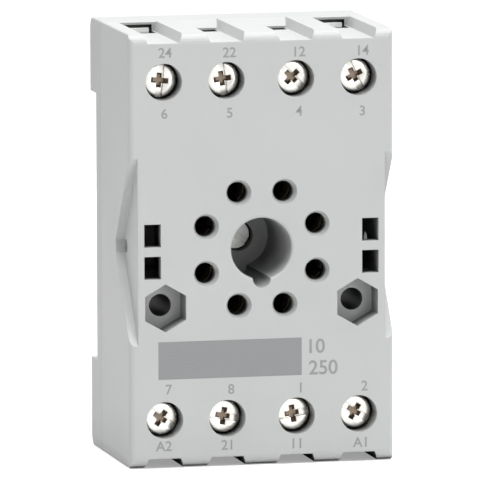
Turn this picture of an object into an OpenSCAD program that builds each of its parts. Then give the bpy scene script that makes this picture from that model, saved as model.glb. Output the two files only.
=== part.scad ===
// Octal relay socket with eight screw terminals, for a 35 mm rail or two M3 screws.
// X runs to the right, Y into the socket from its front face, Z up along the socket.
// The origin is the centre of the bottom end, so the socket stands on Z = 0.

/* [Body] */
// Width across the two sides
body_w = 38.5; // [38:0.1:44]
// Height from end to end
body_h = 62; // [60.5:0.5:72]
// Depth of the front moulding, up to the seam
housing_d = 18.6; // [18:0.1:21]
// Thickness of the rear base moulding
base_d = 6.9; // [6.6:0.1:7.8]
// Radius of the upright front edges
front_edge_r = 0.85; // [0.4:0.05:1.2]
// Radius of the front edges of both ends
end_edge_r = 1.5; // [0.8:0.1:1.8]
// Radius of the corners between the sides and the ends
end_corner_r = 0.25; // [0.1:0.05:0.6]
// Height of the drafted band along a side at each end
end_band_h = 1.4; // [0.8:0.1:2]
// How far that band leans in
end_band_draft = 0.12; // [0.05:0.01:0.25]
// Radius of the rear edges of both ends
rear_edge_r = 1; // [0.5:0.1:1.6]
// Chamfer round the front of the base, which shows as the seam
seam_chamfer = 0.15; // [0.05:0.05:0.3]

/* [Octal plug pattern] */
// Diameter of the circle through the eight pin holes
pin_circle_d = 17.45; // [17:0.05:18]
// Diameter of a pin hole
pin_hole_d = 2.95; // [2.7:0.05:3.2]
// Diameter of a pin hole's mouth at the face
pin_mouth_d = 3.7; // [3.4:0.05:4.2]
// Depth of a pin hole's tapered mouth
pin_mouth_depth = 1; // [0.5:0.1:1.2]
// Depth at which a pin hole opens into its contact chamber
pin_guide_depth = 2.4; // [2:0.1:3.2]
// Diameter of the bore for the keyed post
key_bore_d = 8.8; // [8.4:0.05:9.2]
// Width of the key's groove
key_groove_w = 2.6; // [2:0.1:3]
// Distance from the bore's axis to the bottom of the key's groove
key_groove_reach = 5.6; // [5.2:0.1:5.8]
// Thickness of the floor of the key bore
key_floor_t = 3.6; // [2.8:0.1:4.4]
// Radius of the mouth of the key bore
key_mouth_r = 0.4; // [0.2:0.05:0.6]

/* [Terminals] */
// Distance of an inner terminal from the middle
inner_pole_x = 5.06; // [4.9:0.02:5.4]
// Distance of an outer terminal from the middle
outer_pole_x = 14.17; // [13.8:0.01:14.4]
// Distance of a terminal's axis from its end of the body
pole_inset = 6.85; // [6.6:0.05:7.4]
// Diameter of the recess round a screw head
head_recess_d = 5.3; // [5.1:0.1:5.8]
// Depth of a screw head's top below the face
head_sink = 2.6; // [2:0.1:3.2]
// Diameter of a screw head
head_d = 4.9; // [4.5:0.1:5]
// Height of a screw head
head_h = 2; // [1.6:0.1:2.4]
// Height of the sloped edge of a screw head
head_edge_h = 0.35; // [0.2:0.05:0.5]
// Diameter of a screw's shank
shank_d = 2.9; // [2.6:0.05:3.1]
// Chamfer at a screw's tip
tip_chamfer = 0.3; // [0.2:0.05:0.5]
// Width of a screw's driver slot
driver_slot_w = 1; // [0.8:0.05:1.2]
// Depth of a screw's driver slot
driver_slot_depth = 0.55; // [0.4:0.05:0.8]
// Span of a screw's cross recess
cross_span = 3.3; // [2.8:0.1:3.7]
// Width of an arm of the cross recess
cross_arm_w = 0.85; // [0.7:0.05:1]
// Depth of the cross recess
cross_depth = 1.3; // [0.9:0.1:1.5]

/* [Clamp cages] */
// How far a cage moves from shut to open
clamp_travel = 3.2; // [2.6:0.1:3.4]
// Gap between an open cage and the base
cage_floor_gap = 0.3; // [0.2:0.05:0.5]
// Width of a cage across the wire
cage_w = 5; // [4.8:0.1:5.4]
// Length of a cage along the wire
cage_l = 4.4; // [4:0.1:4.8]
// Thickness of a cage's side walls
cage_side_t = 0.7; // [0.6:0.05:0.8]
// Thickness of a cage's threaded front wall
cage_front_t = 1.8; // [1.4:0.1:2]
// Thickness of a cage's rear wall, which presses the wire
cage_rear_t = 1; // [0.8:0.1:1.2]
// Thickness of the tongue that shuts the throat with the cage
tongue_plate_t = 0.6; // [0.4:0.05:0.7]
// Width of that tongue
tongue_plate_w = 3; // [2.4:0.1:3.4]
// Distance of that tongue's middle from the screw's axis
tongue_plate_shift = 0.4; // [0:0.05:0.5]

/* [Wire entries] */
// Width of a wire entry's throat
throat_w = 4.2; // [4:0.1:4.5]
// Width of a notch's floor
notch_floor_w = 4.6; // [4.5:0.1:5]
// Width of a notch at the end face
notch_mouth_w = 5.7; // [5.3:0.1:6]
// Depth of a notch below the end face
notch_depth = 1.35; // [1:0.05:1.7]
// Step from the bar's rear face to the front of a throat
throat_step = 0.1; // [0:0.05:0.4]
// Depth of an outer throat from front to back
outer_throat_d = 3.2; // [2.6:0.1:3.3]
// Depth of an inner throat from front to back
inner_throat_d = 2.5; // [2.2:0.1:2.8]
// How far the lip behind an outer throat lies below the end face
outer_lip_drop = 0.1; // [0:0.05:0.3]
// How far the lip behind an inner throat lies below the end face
inner_lip_drop = 1.1; // [0.8:0.05:1.2]
// Thickness of those lips
lip_t = 0.35; // [0.3:0.05:0.5]

/* [Contacts] */
// Outer diameter of a contact's barrel
barrel_d = 3.9; // [3.6:0.1:4.1]
// Depth of a barrel's front below the face
barrel_sink = 5; // [3:0.5:6]
// Bore of a contact's barrel, for a 2.36 mm pin
barrel_bore_d = 2.4; // [2.38:0.02:2.6]
// Chamfer at the mouth of that bore
barrel_lead = 0.5; // [0.3:0.05:0.6]
// Solid length behind that bore
barrel_floor_t = 1; // [0.8:0.1:2]
// Width of the slits that make a barrel springy
barrel_slit_w = 0.5; // [0.4:0.05:0.7]
// Length of those slits
barrel_slit_l = 8; // [6:0.5:10]
// Width of a contact's strip
strip_w = 2.8; // [2.4:0.1:3]
// Thickness of a contact's strip
strip_t = 0.8; // [0.6:0.05:0.9]
// Width of the bar that a wire is clamped to
bar_w = 3.2; // [2.8:0.1:3.3]
// Thickness of that bar
bar_t = 1; // [0.8:0.1:1.1]
// Height at which an inner contact's strip turns upright
inner_bend_z = 13; // [11:0.5:15]
// Height at which an upper outer contact's strip turns upright
outer_bend_z = 11.5; // [10:0.5:14]
// Length that a lower outer contact's strip runs upright beside a fixing hole
bypass_l = 6.5; // [5:0.5:8]
// Wall left between that strip's channel and the fixing hole
fixing_wall = 1.2; // [1:0.1:1.4]

/* [Panel fixing] */
// Distance of a fixing hole from the middle
fixing_x = 14; // [13.8:0.05:14.2]
// Distance of the fixing holes below the plug's axis
fixing_drop = 8.1; // [8:0.1:9]
// Diameter of a fixing hole, for an M3 screw
fixing_hole_d = 3.2; // [3:0.05:3.4]
// Width across flats of the hexagonal pocket for an M3 nut
nut_pocket_af = 5.95; // [5.6:0.05:6.2]
// Depth of that pocket
nut_pocket_depth = 3.8; // [3:0.1:4.5]
// Diameter of the boss behind a fixing hole
fixing_boss_d = 5.6; // [5.2:0.1:5.8]

/* [Face slots and clip seats] */
// Distance of the retaining clip slots from the middle
clip_slot_x = 15.87; // [15.6:0.01:16]
// Width of a clip slot
clip_slot_w = 2.4; // [2:0.1:2.6]
// Height of a clip slot
clip_slot_h = 3.25; // [2.8:0.05:3.4]
// Distance between the middles of a pair of clip slots
clip_slot_pitch = 4.6; // [4.3:0.1:4.8]
// Thickness of the wall that the clip slots go through
clip_wall_t = 1.6; // [1.2:0.1:2.4]
// Width of the hollow behind a pair of clip slots
clip_hollow_w = 5.6; // [4:0.1:5.8]
// How far that hollow reaches past the slots
clip_hollow_rim = 0.25; // [0.1:0.05:0.3]
// Depth of the recess in each side
waist_depth = 1.25; // [0.8:0.05:1.4]
// Height of that recess at the front edge
waist_h = 26.8; // [24:0.2:30]
// How far back that recess reaches
waist_reach = 9; // [8.6:0.1:12]
// Height of that recess at its back end
waist_apex_h = 1.8; // [1.4:0.1:3]
// Diameter of the pivot hole for a retaining clip
pivot_hole_d = 1.9; // [1.6:0.1:2.2]
// Wall between the pivot hole and the back end of the recess
pivot_hole_wall = 0.1; // [0.05:0.05:0.6]

/* [Rail seat] */
// Depth of the rail recess
rail_depth = 3.8; // [3.6:0.1:4]
// Height of the rail recess
rail_h = 38.6; // [38.2:0.1:39.4]
// Distance of the rail recess's middle above the plug's axis
rail_rise = 1.1; // [0.8:0.1:1.4]
// Gap for the rail's flange in front of the hook
rail_flange_gap = 1.2; // [1.1:0.05:1.4]
// How far the fixed hook reaches over the flange
hook_reach = 3; // [2.4:0.1:3.4]
// Width of the fixed hook
hook_w = 18; // [12:0.5:26]
// Thickness of the fixed hook at its tip
hook_tip_t = 1; // [0.8:0.1:1.4]
// Rise of the hook's sloped lip
hook_lip_h = 1; // [0.6:0.1:1.6]

/* [Rail latch] */
// How far the latch slides down to let the rail go
latch_travel = 2.5; // [2:0.1:2.8]
// Width of the latch
latch_w = 12; // [10:0.5:16]
// How far each side tongue sticks out
tongue_w = 1; // [0.7:0.1:1.4]
// Thickness of the side tongues
tongue_t = 1.2; // [1:0.1:1.4]
// Distance from an end of the latch to an end of its side tongues
tongue_inset = 1; // [0.5:0.1:2]
// How far the nose reaches over the rail's flange side
nose_reach = 3; // [2.6:0.1:3.2]
// Thickness of the nose at its tip
nose_tip_t = 0.8; // [0.6:0.1:1.2]
// Drop of the nose's sloped back
nose_slope_h = 1.3; // [0.8:0.1:1.8]
// Gap from the latch's lower end to the body's lower end
latch_foot_gap = 0.6; // [0.4:0.1:1.2]
// How far the latch lies below the rear plane
latch_sink = 0.3; // [0.2:0.05:0.5]
// Width of the window that holds the spring
window_w = 4.4; // [4:0.1:5]
// Thickness of the latch above its window
latch_head_t = 2; // [1.6:0.1:2.4]
// Length of the latch's foot below its window
latch_foot_l = 3.25; // [2.8:0.05:3.6]
// Outer diameter of the spring
spring_d = 2.9; // [2.4:0.1:3]
// Diameter of the spring's wire
spring_wire_d = 0.4; // [0.3:0.05:0.45]
// Thickness of the stop that the spring stands on
stop_t = 1.4; // [1:0.1:1.6]
// Width of the screwdriver slot in the latch
pry_slot_w = 5; // [3:0.5:6]
// Height of the screwdriver slot in the latch
pry_slot_h = 1.2; // [0.8:0.1:1.4]

/* [Assembly screw] */
// Diameter of its head
join_head_d = 4; // [3.6:0.1:4.2]
// Height of its head
join_head_h = 1; // [0.8:0.1:1.2]
// Diameter of its shank
join_shank_d = 2.5; // [2.2:0.1:2.6]
// Depth of its head's recess below the floor of the key bore
join_recess_depth = 2.6; // [1.8:0.1:2.8]
// Width of its driver slot
join_slot_w = 0.8; // [0.6:0.05:1]
// Depth of its driver slot
join_slot_depth = 0.45; // [0.3:0.05:0.6]
// Wall left between its hole and the rail recess
join_wall = 0.3; // [0.3:0.05:1]

/* [Clearances] */
// Gap round moving pieces
slide_gap = 0.15; // [0.12:0.01:0.2]
// Gap round pieces that lie in a chamber
seat_gap = 0.2; // [0.1:0.05:0.3]
// Radial gap between a thread and its hole
thread_gap = 0.07; // [0.04:0.01:0.09]
// Gap at each end of the spring, and between a strip and the base
rest_gap = 0.05; // [0.02:0.01:0.1]

/* [Hidden] */
$fn = 64;

// How far a cut runs past the surface that it opens
past = 1;
half_w = body_w / 2;
half_h = body_h / 2;
// Depth of the plane where the housing meets the base, and of the rear plane
seam_y = housing_d;
body_d = housing_d + base_d;

// Poles 1 to 8: side of the middle, inner or outer, end of the body, turn of the screw's slot
POLES = [
    [ 1, inner_pole_x, -1,   9], [ 1, outer_pole_x, -1, -31],
    [ 1, outer_pole_x,  1, 117], [ 1, inner_pole_x,  1, 135],
    [-1, inner_pole_x,  1,  98], [-1, outer_pole_x,  1,  85],
    [-1, outer_pole_x, -1, -34], [-1, inner_pole_x, -1,  -9]];
function pole_x(n) = POLES[n - 1][0] * POLES[n - 1][1];
function pole_end(n) = POLES[n - 1][2];
function slot_turn(n) = POLES[n - 1][3];
function is_inner(n) = POLES[n - 1][1] == inner_pole_x;
function pin_angle(n) = 45 * (n - 1) - 67.5;
function pin_point(n) = pin_circle_d / 2 * [cos(pin_angle(n)), sin(pin_angle(n))];
pole_z = half_h - pole_inset;

// Depths along a terminal's axis with the cage shut, from the base forwards
cage_rear_y = seam_y - cage_floor_gap - clamp_travel;
bar_y = cage_rear_y - cage_rear_t - seat_gap - bar_t;
cage_y = bar_y - seat_gap - cage_front_t - clamp_travel;
cage_d = cage_rear_y - cage_y;
shelf_y = cage_y - seat_gap;
seat_y = head_sink + head_h + slide_gap;
throat_y = bar_y + bar_t + throat_step;

// Lip behind a throat: the depth of its edge, its top there, and the roof under it
function lip_y(inner) = throat_y + (inner ? inner_throat_d : outer_throat_d);
function lip_z(inner) = half_h - (inner ? inner_lip_drop : outer_lip_drop);
function roof_z(inner) = lip_z(inner) - lip_t;

// Chamber round a cage, along the wire: from behind the riser to the throat
chamber_w = cage_w + 2 * seat_gap;
riser_out = pole_z - cage_l / 2 - seat_gap * 2;
riser_in = riser_out - strip_t;
chamber_in = riser_in - seat_gap;
chamber_out = pole_z + cage_l / 2 + seat_gap;

// Depth of the clip's pivot axis, and the outer side of the hollow that it opens into
pivot_y = waist_reach - pivot_hole_wall - pivot_hole_d / 2;
clip_hollow_x = clip_slot_x + clip_slot_w / 2;
key_bore_depth = housing_d - key_floor_t;

// Contact strips lie against the base
strip_y = seam_y - strip_t - rest_gap;
chamber_d = barrel_d + 2 * seat_gap;
bypass_x = fixing_x - fixing_hole_d / 2 - fixing_wall - seat_gap - strip_w / 2;
bypass_from = fixing_drop - fixing_hole_d / 2;
bypass_to = bypass_from + bypass_l;

// Rail recess
recess_y = body_d - rail_depth;
recess_top = rail_rise + rail_h / 2;
recess_bottom = rail_rise - rail_h / 2;
hook_y = recess_y + rail_flange_gap;

// Latch: its body lies in a channel of the base and slides along Z
latch_y = recess_y + slide_gap;
latch_rear = body_d - latch_sink;
latch_foot = -half_h + latch_foot_gap;
latch_shoulder = recess_bottom;
nose_top = recess_bottom + nose_reach;
tongue_y = latch_y + tongue_t;
window_top = latch_shoulder - latch_head_t;
window_bottom = latch_foot + latch_foot_l;
stop_bottom = window_bottom + slide_gap;
stop_top = stop_bottom + stop_t;
pry_z = (window_bottom + latch_foot) / 2;
// The spring fills the window above its stop, and its coils don't bind over the latch's travel
spring_l = window_top - stop_top;
spring_y = (latch_y + latch_rear) / 2;
coil_room = 1.1 * spring_wire_d;
spring_coils = max(3, floor((spring_l - latch_travel) / coil_room));

// Assembly screw
join_head_y = key_bore_depth + join_recess_depth - join_head_h;
join_hole_end = recess_y - join_wall;
join_turn = 35;

// ---- drawing helpers: children are drawn in the body's own frame ----

// Moves from the plug's axis on the front face to the body's origin
module in_body() {
    translate([0, -body_d / 2, half_h]) children();
}

// A cylinder along Y between two depths
module round_y(d, from, to, d_end = undef) {
    translate([0, from, 0])
        rotate([-90, 0, 0])
            cylinder(d1 = d, d2 = is_undef(d_end) ? d : d_end, h = to - from);
}

// Extrudes an outline in X and Z between two depths
module along_y(from, to) {
    translate([0, to, 0]) rotate([90, 0, 0]) linear_extrude(to - from) children();
}

// Extrudes an outline in Y and Z across X
module along_x(from, to) {
    translate([from, 0, 0]) rotate([90, 0, 90]) linear_extrude(to - from) children();
}

// Extrudes an outline in X and Y up Z
module along_z(from, to) {
    translate([0, 0, from]) linear_extrude(to - from) children();
}

// A box between two corners
module block(low, high) {
    translate(low) cube(high - low);
}

function unit(v) = v / norm(v);

// Points of a rounded corner at p, between its neighbours a and b
function corner(a, p, b, r, steps = 6) =
    let (u = unit(a - p), v = unit(b - p), half = acos(u * v) / 2)
    let (c = p + unit(u + v) * (r / sin(half)))
    let (s = p + u * (r / tan(half)) - c, e = p + v * (r / tan(half)) - c)
    let (turn = atan2(s.x * e.y - s.y * e.x, s * e))
    [for (i = [0 : steps])
        let (t = turn * i / steps)
        c + [s.x * cos(t) - s.y * sin(t), s.x * sin(t) + s.y * cos(t)]];

// An outline from [x, y, radius] corners; a radius of 0 stays sharp
function outline(corners) = [
    for (i = [0 : len(corners) - 1])
        let (n = len(corners), p = corners[i])
        let (a = corners[(i + n - 1) % n], b = corners[(i + 1) % n])
        each (p[2] == 0
            ? [[p.x, p.y]]
            : corner([a.x, a.y], [p.x, p.y], [b.x, b.y], p[2]))];

// Outline of a flat strip of width w that follows a route, with mitred bends
function side_point(route, i, w) =
    let (n = len(route))
    let (before = i == 0 ? undef : unit(route[i] - route[i - 1]))
    let (after = i == n - 1 ? undef : unit(route[i + 1] - route[i]))
    let (d0 = is_undef(before) ? after : before, d1 = is_undef(after) ? before : after)
    let (m = unit([-d0.y - d1.y, d0.x + d1.x]))
    route[i] + m * (w / 2) / (m * [-d0.y, d0.x]);
function ribbon(route, w) = concat(
    [for (i = [0 : len(route) - 1]) side_point(route, i, w)],
    [for (i = [len(route) - 1 : -1 : 0]) side_point(route, i, -w)]);

// Route of a contact's strip from its pin to the riser at its terminal
function strip_route(n) =
    let (p = pin_point(n), x = pole_x(n), e = pole_end(n))
    is_inner(n) ? [p, [x, e * inner_bend_z], [x, e * riser_out]]
    : e > 0 ? [p, [x, outer_bend_z], [x, riser_out]]
    : [p, [sign(x) * bypass_x, -bypass_from], [sign(x) * bypass_x, -bypass_to],
        [x, -bypass_to - outer_pole_x + bypass_x], [x, -riser_out]];

// ---- housing ----

// Outer form of the front moulding
module housing_form() {
    intersection() {
        along_z(-half_h, half_h)
            polygon(outline([[-half_w, 0, front_edge_r], [half_w, 0, front_edge_r],
                [half_w, seam_y, 0], [-half_w, seam_y, 0]]));
        along_x(-half_w, half_w)
            polygon(outline([[0, -half_h, end_edge_r], [seam_y, -half_h, 0],
                [seam_y, half_h, 0], [0, half_h, end_edge_r]]));
        along_y(0, seam_y) end_outline();
    }
}

// The body seen from the front: each side has a drafted band at both ends
module end_outline() {
    w = half_w - end_band_draft;
    band_z = half_h - end_band_h;
    polygon(outline([[-half_w, -band_z, 0], [-w, -half_h, end_corner_r],
        [w, -half_h, end_corner_r], [half_w, -band_z, 0], [half_w, band_z, 0],
        [w, half_h, end_corner_r], [-w, half_h, end_corner_r], [-half_w, band_z, 0]]));
}

// Tapered recess in one side, where a retaining clip swings
module waist_cut() {
    along_x(half_w - waist_depth, half_w + past)
        polygon([[-past, waist_h / 2], [0, waist_h / 2], [waist_reach, waist_apex_h / 2],
            [waist_reach, -waist_apex_h / 2], [0, -waist_h / 2], [-past, -waist_h / 2]]);
    translate([clip_hollow_x - past, pivot_y, 0])
        rotate([0, 90, 0]) cylinder(d = pivot_hole_d, h = half_w - clip_hollow_x + 2 * past);
}

// Two slots for a clip's legs, and the hollow behind them that opens to the rear
module clip_cut() {
    reach = (clip_slot_pitch + clip_slot_h) / 2 + clip_hollow_rim;
    for (step = [-1, 1])
        translate([clip_slot_x, 0, step * clip_slot_pitch / 2])
            block([-clip_slot_w / 2, -past, -clip_slot_h / 2],
                [clip_slot_w / 2, clip_wall_t + past, clip_slot_h / 2]);
    block([clip_hollow_x - clip_hollow_w, clip_wall_t, -reach],
        [clip_hollow_x, seam_y + past, reach]);
}

// Notch in an end face that leads to a throat, with a ramp behind the throat's lip
module notch_cut(inner) {
    floor_z = half_h - notch_depth;
    half_floor = notch_floor_w / 2;
    half_mouth = notch_mouth_w / 2;
    flare = (half_mouth - half_floor) * past / notch_depth;
    intersection() {
        along_y(-past, seam_y + past)
            polygon([[-half_floor, floor_z - past], [half_floor, floor_z - past],
                [half_floor, floor_z], [half_mouth + flare, half_h + past],
                [-half_mouth - flare, half_h + past], [-half_floor, floor_z]]);
        along_x(-notch_mouth_w, notch_mouth_w)
            polygon([[-past, floor_z], [lip_y(inner), floor_z], [lip_y(inner), lip_z(inner)],
                [seam_y, half_h], [seam_y, half_h + past], [-past, half_h + past]]);
    }
}

// All that is cut for one terminal at the upper end
module terminal_cut(inner) {
    translate([0, 0, pole_z]) {
        round_y(head_recess_d, -past, seat_y);
        round_y(shank_d + 2 * seat_gap, seat_y - past, shelf_y + past);
    }
    block([-chamber_w / 2, shelf_y, chamber_in], [chamber_w / 2, seam_y + past, chamber_out]);
    block([-throat_w / 2, throat_y, pole_z], [throat_w / 2, lip_y(inner), half_h + past]);
    // Room for the cage's tongue under the lip
    block([-throat_w / 2, throat_y, pole_z], [throat_w / 2, seam_y + past, roof_z(inner)]);
    notch_cut(inner);
}

// Chamber for one contact's barrel and strip, open to the rear
module contact_cut(n) {
    p = pin_point(n);
    translate([p.x, 0, p.y]) {
        round_y(pin_mouth_d, 0, pin_mouth_depth, pin_hole_d);
        round_y(pin_hole_d, -past, pin_guide_depth + past);
        round_y(chamber_d, pin_guide_depth, seam_y + past);
    }
    along_y(strip_y - seat_gap, seam_y + past)
        polygon(ribbon(strip_route(n), strip_w + 2 * seat_gap));
}

// Bore for the plug's keyed post, with the groove for its key at the bottom
module key_cut() {
    r = key_bore_d / 2;
    rotate([-90, 0, 0]) rotate_extrude()
        polygon(concat([[0, -past], [r + key_mouth_r, -past]],
            corner([r + past, 0], [r, 0], [r, key_bore_depth], key_mouth_r),
            [[r, key_bore_depth], [0, key_bore_depth]]));
    block([-key_groove_w / 2, -past, key_groove_w / 2 - key_groove_reach],
        [key_groove_w / 2, key_bore_depth, 0]);
    translate([0, 0, key_groove_w / 2 - key_groove_reach])
        round_y(key_groove_w, -past, key_bore_depth);
    round_y(join_head_d + 2 * seat_gap, key_bore_depth - past, key_bore_depth + join_recess_depth);
    round_y(join_shank_d + 2 * seat_gap, key_bore_depth, seam_y + past);
}

module housing() {
    color("#c9cbca") in_body() difference() {
        housing_form();
        key_cut();
        for (n = [1 : 8]) {
            contact_cut(n);
            translate([pole_x(n), 0, 0])
                mirror([0, 0, pole_end(n) < 0 ? 1 : 0])
                    terminal_cut(is_inner(n));
        }
        for (side = [0, 1]) mirror([side, 0, 0]) {
            waist_cut();
            translate([fixing_x, 0, -fixing_drop]) {
                round_y(fixing_hole_d, -past, seam_y + past);
                rotate([0, 30, 0])
                    translate([0, -past, 0]) rotate([-90, 0, 0])
                        cylinder(d = nut_pocket_af / cos(30), h = nut_pocket_depth + past, $fn = 6);
            }
            clip_cut();
        }
    }
}

// ---- base ----

// Rear moulding without its recess
module base_form() {
    intersection() {
        along_x(-half_w, half_w)
            polygon(outline([[seam_y, -half_h + seam_chamfer, 0],
                [seam_y + seam_chamfer, -half_h, 0], [body_d, -half_h, rear_edge_r],
                [body_d, half_h, rear_edge_r], [seam_y + seam_chamfer, half_h, 0],
                [seam_y, half_h - seam_chamfer, 0]]));
        along_y(seam_y, body_d) end_outline();
        along_z(-half_h, half_h)
            polygon([[-half_w + seam_chamfer, seam_y], [half_w - seam_chamfer, seam_y],
                [half_w, seam_y + seam_chamfer], [half_w, body_d], [-half_w, body_d],
                [-half_w, seam_y + seam_chamfer]]);
    }
}

// Channel that the latch slides in, undercut for its tongues
module latch_channel() {
    w = latch_w / 2 + slide_gap;
    block([-w, recess_y, -half_h - past], [w, body_d + past, recess_bottom + past]);
    block([-w - tongue_w, recess_y, -half_h - past],
        [w + tongue_w, tongue_y + slide_gap, recess_bottom + past]);
}

module base() {
    color("#c3c5c4") in_body() {
        difference() {
            union() {
                difference() {
                    base_form();
                    block([-half_w - past, recess_y, recess_bottom],
                        [half_w + past, body_d + past, recess_top]);
                    latch_channel();
                }
                // Fixed hook over the rail's upper flange, with a sloped lip
                along_x(-hook_w / 2, hook_w / 2)
                    polygon([[hook_y, recess_top + past], [hook_y, recess_top - hook_reach],
                        [hook_y + hook_tip_t, recess_top - hook_reach],
                        [body_d, recess_top - hook_reach + hook_lip_h],
                        [body_d, recess_top + past]]);
                // Stop that the latch's spring stands on
                block([-window_w / 2 + slide_gap * 2, recess_y - past, stop_bottom],
                    [window_w / 2 - slide_gap * 2, latch_rear - slide_gap, stop_top]);
                for (side = [-1, 1])
                    translate([side * fixing_x, 0, -fixing_drop])
                        round_y(fixing_boss_d, recess_y - past, body_d);
            }
            for (side = [-1, 1])
                translate([side * fixing_x, 0, -fixing_drop])
                    round_y(fixing_hole_d, seam_y - past, body_d + past);
            round_y(join_shank_d + 2 * thread_gap, seam_y - past, join_hole_end);
        }
    }
}

// ---- latch and spring ----

module rail_latch() {
    color("#b9bbba") in_body() difference() {
        union() {
            block([-latch_w / 2, latch_y, latch_foot], [latch_w / 2, latch_rear, latch_shoulder]);
            block([-latch_w / 2 - tongue_w, latch_y, latch_foot + tongue_inset],
                [latch_w / 2 + tongue_w, tongue_y, latch_shoulder - tongue_inset]);
            // Nose under the rail's lower flange, sloped so the rail pushes it aside
            along_x(-latch_w / 2, latch_w / 2)
                polygon([[hook_y, latch_shoulder - past], [hook_y, nose_top],
                    [hook_y + nose_tip_t, nose_top], [latch_rear, nose_top - nose_slope_h],
                    [latch_rear, latch_shoulder - past]]);
        }
        block([-window_w / 2, latch_y - past, window_bottom],
            [window_w / 2, latch_rear + past, window_top]);
        block([-pry_slot_w / 2, latch_y - past, pry_z - pry_slot_h / 2],
            [pry_slot_w / 2, latch_rear + past, pry_z + pry_slot_h / 2]);
    }
}

// Coil along Z as one swept tube: its end coils lie flat
function coil_height(t, l) =
    let (flat = 1 / spring_coils)
    t < flat ? 0 : t > 1 - flat ? l : l * (t - flat) / (1 - 2 * flat);
module latch_spring() {
    sides = 8;
    steps = 16 * spring_coils;
    r = (spring_d - spring_wire_d) / 2;
    wire_r = spring_wire_d / 2;
    rise = spring_l - spring_wire_d - 2 * rest_gap;
    rings = [for (i = [0 : steps])
        let (t = i / steps, a = 360 * spring_coils * t)
        for (k = [0 : sides - 1])
            let (b = 360 * k / sides)
            [(r + wire_r * cos(b)) * cos(a), (r + wire_r * cos(b)) * sin(a),
                coil_height(t, rise - 2 * spring_wire_d) + spring_wire_d * min(1, t * spring_coils)
                    + spring_wire_d * max(0, t * spring_coils - spring_coils + 1)
                    + wire_r * sin(b)]];
    walls = [for (i = [0 : steps - 1], k = [0 : sides - 1])
        let (a = i * sides + k, b = i * sides + (k + 1) % sides)
        [a, a + sides, b + sides, b]];
    color("#b0b2b4") in_body()
        translate([0, spring_y, stop_top + wire_r + rest_gap])
            polyhedron(rings, concat(walls, [[for (k = [0 : sides - 1]) k]],
                [[for (k = [sides - 1 : -1 : 0]) steps * sides + k]]));
}

// ---- assembly screw ----

module assembly_screw() {
    color("#b8b9b6") in_body() difference() {
        union() {
            round_y(join_head_d, join_head_y, join_head_y + join_head_h);
            round_y(join_shank_d, join_head_y + join_head_h / 2, join_hole_end - seat_gap);
        }
        rotate([0, join_turn, 0])
            block([-join_head_d, join_head_y - past, -join_slot_w / 2],
                [join_head_d, join_head_y + join_slot_depth, join_slot_w / 2]);
    }
}

// ---- terminals ----

// Sprung socket for one pin, its strip, and the bar at its terminal
module contact(n) {
    p = pin_point(n);
    x = pole_x(n);
    e = pole_end(n);
    color("#c2a878") in_body() difference() {
        union() {
            translate([p.x, 0, p.y]) round_y(barrel_d, barrel_sink, strip_y + strip_t / 2);
            along_y(strip_y, strip_y + strip_t) {
                polygon(ribbon(strip_route(n), strip_w));
                translate(p) circle(d = barrel_d);
            }
            mirror([0, 0, e < 0 ? 1 : 0]) {
                block([x - bar_w / 2, bar_y, riser_in], [x + bar_w / 2, strip_y + strip_t, riser_out]);
                block([x - bar_w / 2, bar_y, riser_in],
                    [x + bar_w / 2, bar_y + bar_t, chamber_out - seat_gap]);
            }
        }
        translate([p.x, 0, p.y]) {
            round_y(barrel_bore_d, barrel_sink - past, strip_y - barrel_floor_t);
            round_y(barrel_bore_d + 2 * barrel_lead, barrel_sink, barrel_sink + barrel_lead,
                barrel_bore_d);
            rotate([0, -pin_angle(n), 0])
                block([-barrel_d, barrel_sink - past, -barrel_slit_w / 2],
                    [barrel_d, barrel_sink + barrel_slit_l, barrel_slit_w / 2]);
        }
    }
}

// Cage that its screw draws forwards, so its rear wall presses the wire to the bar.
// A tongue of that wall shuts the throat and slides under the throat's lip.
module clamp_cage(n) {
    inner_w = cage_w - 2 * cage_side_t;
    tongue_top = roof_z(is_inner(n)) - seat_gap - pole_z;
    color("#cfd0ce") in_body()
        translate([pole_x(n), cage_y, pole_end(n) * pole_z])
            rotate([0, pole_end(n) < 0 ? 180 : 0, 0]) difference() {
                union() {
                    block([-cage_w / 2, 0, -cage_l / 2], [cage_w / 2, cage_d, cage_l / 2]);
                    translate([-tongue_plate_shift, 0, 0])
                        block([-tongue_plate_w / 2, cage_d - tongue_plate_t, 0],
                            [tongue_plate_w / 2, cage_d, tongue_top]);
                }
                block([-inner_w / 2, cage_front_t, -cage_l],
                    [inner_w / 2, cage_d - cage_rear_t, cage_l]);
                round_y(shank_d + 2 * thread_gap, -past, cage_front_t + past);
            }
}

// Screw with a full-width slot and a cross recess in a domed head
module terminal_screw(n) {
    tip_y = bar_y - slide_gap;
    color("#d8d9d6") in_body()
        translate([pole_x(n), 0, pole_end(n) * pole_z]) rotate([0, -slot_turn(n), 0])
            difference() {
                union() {
                    round_y(head_d - 2 * head_edge_h, head_sink, head_sink + head_edge_h, head_d);
                    round_y(head_d, head_sink + head_edge_h, head_sink + head_h);
                    round_y(shank_d, head_sink + head_h / 2, tip_y - tip_chamfer);
                    round_y(shank_d, tip_y - tip_chamfer, tip_y, shank_d - 2 * tip_chamfer);
                }
                block([-head_d, head_sink - past, -driver_slot_w / 2],
                    [head_d, head_sink + driver_slot_depth, driver_slot_w / 2]);
                block([-cross_span / 2, head_sink - past, -cross_arm_w / 2],
                    [cross_span / 2, head_sink + cross_depth, cross_arm_w / 2]);
                block([-cross_arm_w / 2, head_sink - past, -cross_span / 2],
                    [cross_arm_w / 2, head_sink + cross_depth, cross_span / 2]);
            }
}

housing();
base();
rail_latch();
latch_spring();
assembly_screw();
for (n = [1 : 8]) {
    contact(n);
    clamp_cage(n);
    terminal_screw(n);
}
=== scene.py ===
"""Looks of the octal relay socket: finishes, driven screws, printed marks, studio and camera."""
import math

import bpy
from mathutils import Matrix, Vector


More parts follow.
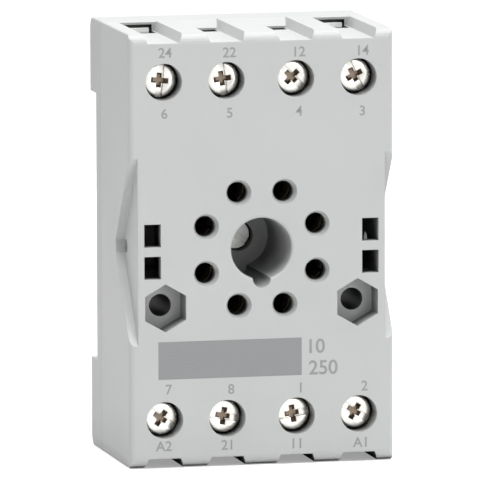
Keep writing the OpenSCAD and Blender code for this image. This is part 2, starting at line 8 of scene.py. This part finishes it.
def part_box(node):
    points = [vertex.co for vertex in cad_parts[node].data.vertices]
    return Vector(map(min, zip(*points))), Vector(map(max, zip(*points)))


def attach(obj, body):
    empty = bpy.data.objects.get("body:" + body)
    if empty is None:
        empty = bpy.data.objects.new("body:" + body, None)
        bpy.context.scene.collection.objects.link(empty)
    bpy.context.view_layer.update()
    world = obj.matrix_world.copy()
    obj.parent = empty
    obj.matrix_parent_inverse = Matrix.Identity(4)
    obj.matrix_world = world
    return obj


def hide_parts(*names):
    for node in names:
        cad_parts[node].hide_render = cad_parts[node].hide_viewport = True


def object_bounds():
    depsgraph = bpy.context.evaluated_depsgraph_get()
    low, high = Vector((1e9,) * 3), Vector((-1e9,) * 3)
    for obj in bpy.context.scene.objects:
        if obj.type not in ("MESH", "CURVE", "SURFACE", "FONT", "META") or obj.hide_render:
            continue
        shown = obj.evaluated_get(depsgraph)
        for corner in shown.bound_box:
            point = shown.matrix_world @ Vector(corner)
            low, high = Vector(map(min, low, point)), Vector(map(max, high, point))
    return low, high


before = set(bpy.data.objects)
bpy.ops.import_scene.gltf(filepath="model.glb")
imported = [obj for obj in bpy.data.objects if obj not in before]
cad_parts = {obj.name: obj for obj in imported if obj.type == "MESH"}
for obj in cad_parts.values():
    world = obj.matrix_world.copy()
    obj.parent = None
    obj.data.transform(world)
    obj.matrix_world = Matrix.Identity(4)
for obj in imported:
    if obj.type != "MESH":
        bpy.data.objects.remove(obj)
cad_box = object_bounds()

# ---------------------------------------------------------------- sizes, in metres
MM = 0.001
FLOOR_Z = cad_box[0][2]
HOUSING_LOW, HOUSING_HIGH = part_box("housing")
FACE_Y = HOUSING_LOW[1]                              # plane of the front face
AXIS_Z = (HOUSING_LOW[2] + HOUSING_HIGH[2]) / 2      # height of the plug's axis
POLES = range(1, 9)


def screw_axis(pole):
    """Where a terminal screw's axis meets the front face."""
    low, high = (Vector(corner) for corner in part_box(f"terminal_screw_{pole}"))
    return Vector(((low.x + high.x) / 2, FACE_Y, (low.z + high.z) / 2))


# ---------------------------------------------------------------- materials
NOISE_LOW, NOISE_HIGH = 0.3, 0.7     # nearly all of Blender's noise lies between these
SHELTER_RAYS = 8                     # rays that feel how deep in a recess a point lies, for the painted shade
FRONT_SHADE_EASE = 2.4                  # how much less painted shade a floor facing the front gets than a wall

PLASTIC_IOR = 1.5
FLOW_MM = 14                         # clouds where the melt flowed
GRAIN_MM = 0.12                      # the mould's grain, drawn coarser than the real 0.03 so that it shows
GRAIN_HEIGHT_MM, GRAIN_STRENGTH = 0.012, 0.25
GRAIN_GLOSS = 0.05                   # how far the grain changes the roughness, either way
MOULD_EDGE_MM = 0.09                 # rounding of moulded edges
# colour of the painted shade in the plastic's recesses
PLASTIC_PAINTED_SHADE = "#17191b"
PLASTIC_REACH_MM = 9                 # width of recess that gets the painted shade
HALF_OPEN = 0.5                      # share of open sky at which a wall shows its own colour

PLATING_MM = 1.6                     # patches of plating
TOOL_MARK_MM = 0.05                  # tool marks, drawn coarser than the real 0.01 so that they show
TOOL_MARK_HEIGHT_MM, TOOL_MARK_STRENGTH = 0.004, 0.2
PLATING_SMOOTHER, PLATING_ROUGHER = 0.06, 0.08   # how far the patches change the roughness
METAL_EDGE_MM = 0.04
DRIVER_REACH_MM = 1.3                # width of recess in a screw's head that gets the painted shade

INK_MOTTLE_MM = 0.25
INK_RELIEF_MM, INK_STRENGTH = 0.008, 0.2
INK_ROUGHNESS = 0.6


def linear(hex_colour):
    """An sRGB hex colour as a linear RGBA tuple."""
    channels = [int(hex_colour[i:i + 2], 16) / 255 for i in (1, 3, 5)]
    return tuple(c / 12.92 if c <= 0.04045 else ((c + 0.055) / 1.055) ** 2.4 for c in channels) + (1.0,)


def add_node(tree, kind, settings=None, inputs=None, links=None):
    """Adds a node with its settings, its constant inputs, and links from other nodes' sockets."""
    node = tree.nodes.new(kind)
    for name, value in (settings or {}).items():
        setattr(node, name, value)
    for name, value in (inputs or {}).items():
        node.inputs[name].default_value = value
    for name, source in (links or {}).items():
        tree.links.new(source, node.inputs[name])
    return node


def new_material(name):
    """A material with only a Principled shader and its output."""
    material = bpy.data.materials.new(name)
    material.use_nodes = True
    tree = material.node_tree
    tree.nodes.clear()
    shader = add_node(tree, "ShaderNodeBsdfPrincipled")
    add_node(tree, "ShaderNodeOutputMaterial", links={"Surface": shader.outputs["BSDF"]})
    return material, tree, shader


def clouded(tree, place, patch_mm, dark, light):
    """Soft patches of a size in millimetres between two colours: the colour, and the patches."""
    patches = add_node(tree, "ShaderNodeTexNoise",
                       inputs={"Scale": 1 / (patch_mm * MM), "Detail": 3.0}, links={"Vector": place})
    shade = add_node(tree, "ShaderNodeValToRGB", links={"Fac": patches.outputs["Fac"]})
    for stop, position, colour in zip(shade.color_ramp.elements, (NOISE_LOW, NOISE_HIGH), (dark, light)):
        stop.position = position
        stop.color = linear(colour)
    return shade.outputs["Color"], patches.outputs["Fac"]


def fine_marks(tree, place, mark_mm):
    """Grain or tool marks of a size in millimetres."""
    marks = add_node(tree, "ShaderNodeTexNoise",
                     inputs={"Scale": 1 / (mark_mm * MM), "Detail": 2.0}, links={"Vector": place})
    return marks.outputs["Fac"]


def painted_recess_shade(tree, colour, shade_colour, reach_mm, open_at):
    """Painted shade: a colour that turns to a darker one in narrow recesses, where light dies.
    Floors that face the front get less of this painted shade than the walls around them."""
    # painted shade: ambient occlusion darkens the colour in recesses
    shelter = add_node(tree, "ShaderNodeAmbientOcclusion", {"samples": SHELTER_RAYS},
                       {"Distance": reach_mm * MM})
    geometry = add_node(tree, "ShaderNodeNewGeometry")
    facing = add_node(tree, "ShaderNodeSeparateXYZ", links={0: geometry.outputs["Normal"]})
    front_eased = add_node(tree, "ShaderNodeMapRange",
                     inputs={"From Min": 0.0, "From Max": -1.0,
                             "To Min": 1 / open_at, "To Max": FRONT_SHADE_EASE / open_at},
                     links={"Value": facing.outputs["Y"]})
    share = add_node(tree, "ShaderNodeMath", {"operation": "MULTIPLY", "use_clamp": True},
                     links={0: shelter.outputs["AO"], 1: front_eased.outputs["Result"]})
    mix = add_node(tree, "ShaderNodeMix", {"data_type": "RGBA"}, {6: linear(shade_colour)},
                   {0: share.outputs[0], 7: colour})
    return mix.outputs[2]


def uneven_gloss(tree, shader, marks, smooth, rough):
    """Roughness that wanders between two values with the marks."""
    gloss = add_node(tree, "ShaderNodeMapRange",
                     inputs={"From Min": NOISE_LOW, "From Max": NOISE_HIGH,
                             "To Min": smooth, "To Max": rough},
                     links={"Value": marks})
    tree.links.new(gloss.outputs["Result"], shader.inputs["Roughness"])


def fine_relief(tree, shader, marks, strength, height_mm, edge=None):
    """Relief of the marks, over a rounded edge where one is given."""
    links = {"Height": marks}
    if edge:
        links["Normal"] = edge.outputs["Normal"]
    bump = add_node(tree, "ShaderNodeBump", inputs={"Strength": strength, "Distance": height_mm * MM},
                    links=links)
    tree.links.new(bump.outputs["Normal"], shader.inputs["Normal"])


def moulded_plastic(name, dark, light, roughness):
    """Glass-filled polyamide or acetal out of a spark-eroded mould: an even, fine satin grain that
    breaks up highlights, faint cloudy flow marks, and edges that catch a thin light line."""
    material, tree, shader = new_material(name)
    shader.inputs["IOR"].default_value = PLASTIC_IOR
    place = add_node(tree, "ShaderNodeTexCoord").outputs["Object"]
    body, _ = clouded(tree, place, FLOW_MM, dark, light)
    # painted shade: the plastic darkens towards near black in its recesses
    tree.links.new(painted_recess_shade(tree, body, PLASTIC_PAINTED_SHADE, PLASTIC_REACH_MM, HALF_OPEN),
                   shader.inputs["Base Color"])
    grain = fine_marks(tree, place, GRAIN_MM)
    uneven_gloss(tree, shader, grain, roughness - GRAIN_GLOSS, roughness + GRAIN_GLOSS)
    edge = add_node(tree, "ShaderNodeBevel", {"samples": 6}, {"Radius": MOULD_EDGE_MM * MM})
    fine_relief(tree, shader, grain, GRAIN_STRENGTH, GRAIN_HEIGHT_MM, edge)
    return material


def plated_metal(name, dark, light, roughness, shade_colour, reach_mm=3, open_at=HALF_OPEN):
    """Plated or bare metal: near-mirror with cloudy patches of plating and very fine tool marks."""
    material, tree, shader = new_material(name)
    shader.inputs["Metallic"].default_value = 1.0
    place = add_node(tree, "ShaderNodeTexCoord").outputs["Object"]
    plate, patches = clouded(tree, place, PLATING_MM, dark, light)
    # painted shade: the metal darkens to its shade colour in recesses
    tree.links.new(painted_recess_shade(tree, plate, shade_colour, reach_mm, open_at), shader.inputs["Base Color"])
    uneven_gloss(tree, shader, patches, roughness - PLATING_SMOOTHER, roughness + PLATING_ROUGHER)
    edge = add_node(tree, "ShaderNodeBevel", {"samples": 4}, {"Radius": METAL_EDGE_MM * MM})
    tool_marks = fine_marks(tree, place, TOOL_MARK_MM)
    fine_relief(tree, shader, tool_marks, TOOL_MARK_STRENGTH, TOOL_MARK_HEIGHT_MM, edge)
    return material


def printing_ink(name, dark, light):
    """Pad-printed ink: a thin matt film, slightly mottled by the grain under it."""
    material, tree, shader = new_material(name)
    place = add_node(tree, "ShaderNodeTexCoord").outputs["Object"]
    film, mottle = clouded(tree, place, INK_MOTTLE_MM, dark, light)
    tree.links.new(film, shader.inputs["Base Color"])
    fine_relief(tree, shader, mottle, INK_STRENGTH, INK_RELIEF_MM)
    shader.inputs["Roughness"].default_value = INK_ROUGHNESS
    return material


HOUSING_PLASTIC = moulded_plastic("light_grey_polyamide", "#babcbb", "#bec0bf", 0.46)
BASE_PLASTIC = moulded_plastic("light_grey_polyamide_base", "#b7b9b8", "#bbbdbc", 0.48)
LATCH_PLASTIC = moulded_plastic("grey_acetal_latch", "#adb0af", "#b3b6b5", 0.4)
# the fifth colour of each metal is the painted shade in its recesses
NICKEL_SCREW = plated_metal("bright_nickel_plate", "#e6e3dc", "#f3f1ec", 0.24, "#5d4a3a",
                            DRIVER_REACH_MM, open_at=0.75)
# painted shade: a darker, rougher nickel for the faces in a screw's cross
CROSS_NICKEL_PAINTED_SHADE = plated_metal("nickel_painted_shade_in_cross", "#8f8070", "#aa9c8c", 0.5, "#3d3127", DRIVER_REACH_MM)
ZINC_CLAMP = plated_metal("bright_zinc_plate", "#cfcfcb", "#dedfdc", 0.3, "#2a2a29")
TINNED_BRASS = plated_metal("tinned_brass", "#a59a80", "#b8ae96", 0.34, "#0c0b0a", reach_mm=6)
SPRING_STEEL = plated_metal("drawn_spring_wire", "#9fa2a6", "#b4b7ba", 0.3, "#1c1d1e")
LABEL_INK = printing_ink("grey_marking_ink", "#8f9190", "#979998")
FIELD_INK = printing_ink("grey_field_ink", "#8b8c8d", "#919293")


def finish_node(node, material):
    """Gives a CAD node its finish."""
    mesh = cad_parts[node].data
    mesh.materials.clear()
    mesh.materials.append(material)


finish_node("housing", HOUSING_PLASTIC)
finish_node("base", BASE_PLASTIC)
finish_node("rail_latch", LATCH_PLASTIC)
finish_node("latch_spring", SPRING_STEEL)
finish_node("assembly_screw", ZINC_CLAMP)
for pole in POLES:
    finish_node(f"contact_{pole}", TINNED_BRASS)
    finish_node(f"clamp_cage_{pole}", ZINC_CLAMP)


# ---------------------------------------------------------------- modelling helpers
SHARP_ANGLE = math.radians(35)       # edges sharper than this are rounded
SMOOTH_ANGLE = math.radians(30)      # edges flatter than this are shaded smooth


def select_only(*objects):
    """Makes the objects the selection, the last of them active."""
    bpy.ops.object.select_all(action="DESELECT")
    for obj in objects:
        obj.select_set(True)
    bpy.context.view_layer.objects.active = objects[-1]


def added(name):
    """The object that an operator has just made, with a name."""
    obj = bpy.context.object
    obj.name = name
    return obj


def box_piece(name, low, high):
    """A box between two corners, in drawing units."""
    bpy.ops.object.select_all(action="DESELECT")
    middle = [(a + b) / 2 for a, b in zip(low, high)]
    bpy.ops.mesh.primitive_cube_add(size=1, location=middle)
    obj = added(name)
    obj.scale = [b - a for a, b in zip(low, high)]
    bpy.ops.object.transform_apply(location=True, rotation=False, scale=True)
    return obj


def rod_piece(name, radius, low, high, sides):
    """A rod along Z, in drawing units."""
    bpy.ops.object.select_all(action="DESELECT")
    bpy.ops.mesh.primitive_cylinder_add(vertices=sides, radius=radius, depth=high - low,
                                        location=(0, 0, (low + high) / 2))
    obj = added(name)
    bpy.ops.object.transform_apply(location=True, rotation=False, scale=False)
    return obj


def apply_modifier(obj, kind, **settings):
    """Adds a modifier and applies it."""
    select_only(obj)
    modifier = obj.modifiers.new(kind.lower(), kind)
    for name, value in settings.items():
        setattr(modifier, name, value)
    bpy.ops.object.modifier_apply(modifier=modifier.name)


def cut_with(obj, *tools):
    """Cuts the tools out of the object and removes them."""
    for tool in tools:
        apply_modifier(obj, "BOOLEAN", object=tool, operation="DIFFERENCE", solver="EXACT")
        bpy.data.objects.remove(tool, do_unlink=True)


def shape_end(obj, z_test, edit):
    """Runs an edit-mode operator on the vertices that pass a test of their height."""
    select_only(obj)
    bpy.ops.object.mode_set(mode="EDIT")
    bpy.ops.mesh.select_mode(type="VERT")
    bpy.ops.mesh.select_all(action="DESELECT")
    bpy.ops.object.mode_set(mode="OBJECT")
    for vertex in obj.data.vertices:
        vertex.select = z_test(vertex.co.z)
    bpy.ops.object.mode_set(mode="EDIT")
    edit()
    bpy.ops.object.mode_set(mode="OBJECT")


# ---------------------------------------------------------------- terminal screws, in millimetres
HEAD_SINK = 2.6          # head's top below the face
HEAD_RADIUS, HEAD_HEIGHT, HEAD_SIDES = 2.45, 2.0, 72
HEAD_ROUNDING = 0.42
CORE_RADIUS, CORE_SIDES, CORE_OVERLAP = 1.22, 32, 0.1
SCREW_LENGTH = 10.15     # from the head's top to the tip
TIP_CHAMFER = 0.3
THREAD_RADIUS, THREAD_PITCH, THREAD_STEPS = 1.46, 0.5, 24
THREAD_END = 0.55        # plain length at the tip and under the head
RIDGE_SIZE = THREAD_PITCH / 2 * 0.96     # a ridge, just clear of the next turn's
SLOT_WIDTH, SLOT_DEPTH = 1.0, 0.55
CROSS_SPAN, CROSS_WIDTH, CROSS_DEPTH = 3.3, 0.85, 1.3
CROSS_TAPER = (0.45, 0.75, 1)            # the cross's size at its bottom, as a share of its top
TOOL_REACH = 3           # how far the slot's cutter runs from the axis
TOOL_RISE = 1            # how far a cutter stands above the head
EDGE_BREAK = 0.05
NEAR_END = 0.01          # vertices this close to an end belong to it
SLOT_SKIN = 0.02         # faces this close to the slot's floor keep the bright nickel, without the painted shade
SLOT_TURNS = (9, -31, 117, 135, 98, 85, -34, -9)     # degrees, as each screw was left


def cross_tool(turn):
    """One arm of the driver's cross, narrower towards its tip."""
    tool = box_piece("tool", (-CROSS_SPAN / 2, -CROSS_WIDTH / 2, -CROSS_DEPTH),
                     (CROSS_SPAN / 2, CROSS_WIDTH / 2, TOOL_RISE))
    shape_end(tool, lambda z: z < 0, lambda: bpy.ops.transform.resize(
        value=CROSS_TAPER, center_override=(0, 0, -CROSS_DEPTH)))
    tool.rotation_euler.z = turn
    select_only(tool)
    bpy.ops.object.transform_apply(location=False, rotation=True, scale=False)
    return tool


def screw_head():
    """The head with its top at 0: a rounded rim, a slot and a cross."""
    head = rod_piece("screw_master", HEAD_RADIUS, -HEAD_HEIGHT, 0, HEAD_SIDES)
    shape_end(head, lambda z: z > -NEAR_END,
              lambda: bpy.ops.mesh.bevel(offset=HEAD_ROUNDING, segments=4, affect="EDGES"))
    slot_tool = box_piece("tool", (-TOOL_REACH, -SLOT_WIDTH / 2, -SLOT_DEPTH),
                          (TOOL_REACH, SLOT_WIDTH / 2, TOOL_RISE))
    cut_with(head, slot_tool, cross_tool(0.0), cross_tool(math.pi / 2))
    apply_modifier(head, "BEVEL", width=EDGE_BREAK, segments=2, limit_method="ANGLE", angle_limit=SHARP_ANGLE)
    return head


def screw_core():
    """The shank under the thread, chamfered at its tip."""
    core = rod_piece("core", CORE_RADIUS, -SCREW_LENGTH, -HEAD_HEIGHT + CORE_OVERLAP, CORE_SIDES)
    shape_end(core, lambda z: z < -SCREW_LENGTH + NEAR_END,
              lambda: bpy.ops.mesh.bevel(offset=TIP_CHAMFER, segments=2, affect="EDGES"))
    return core


def screw_thread():
    """A rolled thread: a ridge wound round the axis and closed at both ends."""
    bpy.ops.object.select_all(action="DESELECT")
    bpy.ops.mesh.primitive_circle_add(vertices=4, radius=RIDGE_SIZE, location=(0, 0, 0),
                                      rotation=(math.pi / 2, 0, 0))
    thread = added("thread")
    bpy.ops.object.transform_apply(location=False, rotation=True, scale=False)
    shape_end(thread, lambda z: True, lambda: bpy.ops.transform.translate(
        value=(THREAD_RADIUS - RIDGE_SIZE, 0, -SCREW_LENGTH + THREAD_END)))
    turns = int((SCREW_LENGTH - HEAD_HEIGHT - 2 * THREAD_END) / THREAD_PITCH)
    apply_modifier(thread, "SCREW", axis="Z", angle=2 * math.pi, screw_offset=THREAD_PITCH, iterations=turns,
                   steps=THREAD_STEPS, render_steps=THREAD_STEPS, use_normal_calculate=True)
    select_only(thread)
    bpy.ops.object.mode_set(mode="EDIT")
    bpy.ops.mesh.select_all(action="SELECT")
    bpy.ops.mesh.fill_holes(sides=4)
    bpy.ops.mesh.normals_make_consistent(inside=False)
    bpy.ops.object.mode_set(mode="OBJECT")
    return thread


def in_cross(middle):
    """Whether a face's middle lies in the cross, below the slot's floor."""
    return (-CROSS_DEPTH - EDGE_BREAK < middle.z < -SLOT_DEPTH - SLOT_SKIN
            and middle.xy.length < CROSS_SPAN / 2 + EDGE_BREAK)


def screw_master():
    """Screw along Z with its head's top at 0, bright outside, with painted shade in a darker, rougher nickel
    in its cross.
    """
    head = screw_head()
    select_only(screw_core(), screw_thread(), head)
    bpy.ops.object.join()
    bpy.ops.object.shade_smooth_by_angle(angle=SMOOTH_ANGLE)
    master = bpy.context.object
    # the second material is the painted shade in the cross
    for material in (NICKEL_SCREW, CROSS_NICKEL_PAINTED_SHADE):
        master.data.materials.append(material)
    for face in master.data.polygons:
        face.material_index = int(in_cross(face.center))
    return master


def place_screws():
    """A driven screw at each pole, in place of the CAD's plain one."""
    master = screw_master()
    for number, turn in zip(POLES, SLOT_TURNS):
        screw = master.copy()
        screw.data = master.data.copy()
        screw.name = f"driven_screw_{number}"
        bpy.context.collection.objects.link(screw)
        at = screw_axis(number) + Vector((0, HEAD_SINK * MM, 0))
        screw.data.transform(Matrix.Translation(at) @ Matrix.Rotation(math.pi / 2, 4, "X")
                             @ Matrix.Rotation(math.radians(turn), 4, "Z") @ Matrix.Scale(MM, 4))
        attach(screw, f"screw_{number}")
        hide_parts(f"terminal_screw_{number}")
    bpy.data.objects.remove(master, do_unlink=True)


place_screws()


# ---------------------------------------------------------------- printed marks, in millimetres
INK_HEIGHT = 0.012       # half of it stands on the face and half lies in it
INK_SPREAD = 0.016       # how much fatter than the letter's outline the ink prints
MARK_HEIGHT = 1.45
# Middles of the marks, right of the plug's axis and above it.
PIN_MARKS = {"1": (5.65, -20.09), "2": (14.98, -20.13), "3": (14.71, 19.33), "4": (5.47, 19.56),
             "5": (-4.62, 19.55), "6": (-14.10, 19.68), "7": (-13.57, -19.74), "8": (-4.51, -19.95)}
TERMINAL_MARKS = {"11": (5.06, -28.10), "12": (5.61, 28.02), "14": (14.90, 27.96), "21": (-5.17, -27.94),
                  "22": (-4.63, 28.18), "24": (-13.96, 28.35), "A1": (14.28, -28.25), "A2": (-14.36, -27.82)}
UPPER_NUMBER, UPPER_AT, UPPER_HEIGHT = "10", (8.05, -14.19), 2.08
LOWER_NUMBER, LOWER_AT, LOWER_HEIGHT = "250", (8.95, -17.28), 2.1
FIELD_LEFT, FIELD_RIGHT, FIELD_BOTTOM, FIELD_TOP = -15.1, 5.8, -18.3, -12.9
FIELD_CORNER = 0.25


def printed(text, middle, height):
    """Text as a thin film on the face, centred on a point of it, with capitals of a given height."""
    bpy.ops.object.select_all(action="DESELECT")
    bpy.ops.object.text_add()
    label = added("label")
    label.data.body = text
    label.data.size = 1
    label.data.extrude = INK_HEIGHT / 2
    label.data.offset = INK_SPREAD
    bpy.ops.object.convert(target="MESH")
    label = bpy.context.object
    low = Vector([min(v.co[i] for v in label.data.vertices) for i in range(3)])
    high = Vector([max(v.co[i] for v in label.data.vertices) for i in range(3)])
    size = height / (high.y - low.y)
    label.data.transform(Matrix.Diagonal((size, size, 1, 1)) @ Matrix.Translation(-(low + high) / 2))
    label.data.transform(Matrix.Translation(Vector((middle[0] * MM, FACE_Y, AXIS_Z + middle[1] * MM)))
                         @ Matrix.Rotation(math.pi / 2, 4, "X") @ Matrix.Scale(MM, 4))
    return label


def print_marks():
    """Pin numbers, terminal numbers, a plain pair of numbers and a bare marking field."""
    labels = [printed(text, at, MARK_HEIGHT) for text, at in {**PIN_MARKS, **TERMINAL_MARKS}.items()]
    labels += [printed(UPPER_NUMBER, UPPER_AT, UPPER_HEIGHT), printed(LOWER_NUMBER, LOWER_AT, LOWER_HEIGHT)]
    select_only(*labels)
    bpy.ops.object.join()
    marks = added("printed_marks")
    marks.data.materials.append(LABEL_INK)
    field = box_piece("marking_field", (FIELD_LEFT, -INK_HEIGHT / 2, FIELD_BOTTOM),
                      (FIELD_RIGHT, INK_HEIGHT / 2, FIELD_TOP))
    apply_modifier(field, "BEVEL", width=FIELD_CORNER, segments=4, limit_method="ANGLE",
                   angle_limit=SHARP_ANGLE)
    field.data.transform(Matrix.Translation(Vector((0, FACE_Y, AXIS_Z))) @ Matrix.Scale(MM, 4))
    field.data.materials.append(FIELD_INK)
    for piece in (marks, field):
        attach(piece, "socket")


print_marks()


# ---------------------------------------------------------------- studio, in metres and watts
FLOOR_SIZE = 6
FLOOR_COLOUR, FLOOR_ROUGHNESS = "#e8e8e8", 0.9
FLOOR_GLOW = 0.32                    # what the camera alone sees on top of the lit floor
LEFT_LIGHT, RIGHT_LIGHT = 0.05, 0.84     # the surround's light from each side
WHITE = (1, 1, 1, 1)


def pale_floor():
    """A matt floor under the socket, a little lighter to the camera than it is lit."""
    bpy.ops.object.select_all(action="DESELECT")
    bpy.ops.mesh.primitive_plane_add(size=FLOOR_SIZE, location=(0, 0, FLOOR_Z))
    floor = added("floor")
    material, tree, shader = new_material("pale_floor")
    shader.inputs["Base Color"].default_value = linear(FLOOR_COLOUR)
    shader.inputs["Roughness"].default_value = FLOOR_ROUGHNESS
    path = add_node(tree, "ShaderNodeLightPath")
    tree.links.new(path.outputs["Is Camera Ray"], shader.inputs["Emission Strength"])
    shader.inputs["Emission Color"].default_value = (FLOOR_GLOW, FLOOR_GLOW, FLOOR_GLOW, 1)
    floor.data.materials.append(material)


def white_surround():
    """A surround that is white to the camera and in reflections, and lights more from the right."""
    world = bpy.data.worlds.new("white_surround")
    bpy.context.scene.world = world
    world.use_nodes = True
    tree = world.node_tree
    tree.nodes.clear()
    path = add_node(tree, "ShaderNodeLightPath")
    mirrored = add_node(tree, "ShaderNodeMath", {"operation": "MAXIMUM"},
                        links={0: path.outputs["Is Glossy Ray"], 1: path.outputs["Is Transmission Ray"]})
    shown = add_node(tree, "ShaderNodeMath", {"operation": "MAXIMUM"},
                     links={0: path.outputs["Is Camera Ray"], 1: mirrored.outputs[0]})
    place = add_node(tree, "ShaderNodeTexCoord")
    way = add_node(tree, "ShaderNodeSeparateXYZ", links={0: place.outputs["Generated"]})
    from_right = add_node(tree, "ShaderNodeMapRange",
                          inputs={"From Min": -1.0, "From Max": 1.0,
                                  "To Min": LEFT_LIGHT, "To Max": RIGHT_LIGHT},
                          links={"Value": way.outputs["X"]})
    light = add_node(tree, "ShaderNodeBackground", inputs={"Color": WHITE},
                     links={"Strength": from_right.outputs["Result"]})
    seen = add_node(tree, "ShaderNodeBackground", inputs={"Color": WHITE, "Strength": 1.0})
    mix = add_node(tree, "ShaderNodeMixShader",
                   links={0: shown.outputs[0], 1: light.outputs[0], 2: seen.outputs[0]})
    add_node(tree, "ShaderNodeOutputWorld", links={"Surface": mix.outputs[0]})


def lamp(name, at, size, power):
    """A square soft box at a point, turned to the middle of the socket."""
    data = bpy.data.lights.new(name, "AREA")
    data.size = size
    data.energy = power
    obj = bpy.data.objects.new(name, data)
    bpy.context.collection.objects.link(obj)
    obj.location = at
    obj.rotation_euler = (Vector((0, 0, AXIS_Z)) - Vector(at)).to_track_quat("-Z", "Y").to_euler()


# ---------------------------------------------------------------- camera
CAMERA_YAW, CAMERA_PITCH, CAMERA_ROLL = 13.05, 7.33, -0.16       # degrees to the left, up, and leaning
CAMERA_DISTANCE = 1.4754
CAMERA_RIGHT, CAMERA_UP = -0.00309, 0.00124                      # off the plug's axis
LENS_MM, SENSOR_MM = 779.6, 36
CLIP_END = 20


def camera():
    """A long lens, round to the left of the front face and a little above it."""
    yaw, pitch, roll = (math.radians(a) for a in (CAMERA_YAW, CAMERA_PITCH, CAMERA_ROLL))
    back = Vector((-math.sin(yaw) * math.cos(pitch), -math.cos(yaw) * math.cos(pitch), math.sin(pitch)))
    level_right = (-back).cross(Vector((0, 0, 1))).normalized()
    level_up = level_right.cross(-back)
    right = level_right * math.cos(roll) + level_up * math.sin(roll)
    up = level_up * math.cos(roll) - level_right * math.sin(roll)
    aim = Vector((0, FACE_Y, AXIS_Z))
    data = bpy.data.cameras.new("camera")
    data.lens = LENS_MM
    data.sensor_width = SENSOR_MM
    data.clip_end = CLIP_END
    obj = bpy.data.objects.new("camera", data)
    bpy.context.collection.objects.link(obj)
    turn = Matrix((right, up, back)).transposed().to_4x4()
    at = aim + back * CAMERA_DISTANCE + right * CAMERA_RIGHT + up * CAMERA_UP
    obj.matrix_world = Matrix.Translation(at) @ turn
    bpy.context.scene.camera = obj


pale_floor()
white_surround()
lamp("overhead_box", at=(-0.04, -0.1, 0.74), size=0.7, power=7.9)
lamp("front_box", at=(0.42, -0.98, 0.14), size=0.4, power=1.25)
camera()
bpy.context.scene.view_settings.view_transform = "Standard"
